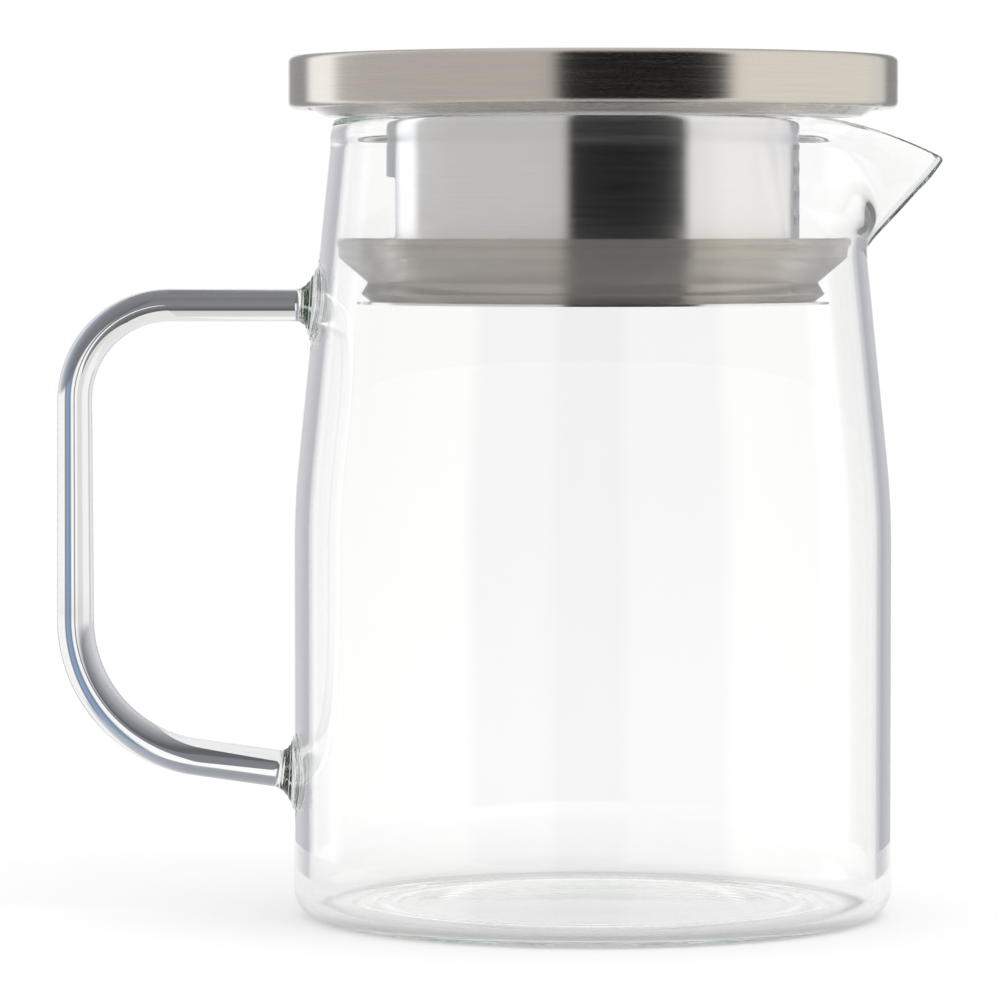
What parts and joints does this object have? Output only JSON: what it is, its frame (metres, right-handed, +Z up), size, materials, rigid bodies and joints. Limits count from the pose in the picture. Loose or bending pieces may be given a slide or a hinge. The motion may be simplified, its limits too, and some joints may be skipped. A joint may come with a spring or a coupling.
{
  "type": "glass pitcher with lid",
  "caption": "One-litre glass pitcher with a pulled spout and welded rod handle, closed by a steel lid whose strainer collar turns in a soft neck seal.",
  "frame": {"origin": "on the vessel's axis at the plane of the ring it stands on", "axes": "+Z up along the vessel's axis, +X towards the spout, -X towards the handle, +Y to the left of the spout seen from above"},
  "size_m": [0.1549, 0.1062, 0.15],
  "materials": {
    "glass": "clear polished borosilicate glass",
    "brushed_steel": "fine circumferential brushing",
    "steel_sheet": "satin pressed sheet",
    "silicone": "translucent grey silicone"
  },
  "bodies": {
    "pitcher": {"glass_body": "glass", "handle": "glass"},
    "seal_ring": {"seal": "silicone"},
    "lid": {"lid_cap": "brushed_steel", "lid_pan": "steel_sheet", "strainer_collar": "steel_sheet"}
  },
  "joints": [
    {"name": "lid_lift", "type": "slide", "parent": "pitcher", "child": "seal_ring", "axis": [0, 0, 1], "range_m": [0, 0.06], "deforming": ["seal"]},
    {"name": "lid_turn", "type": "hinge", "parent": "seal_ring", "child": "lid", "pos_m": [0, 0, 0.1128], "axis": [0, 0, 1], "continuous": true}
  ]
}
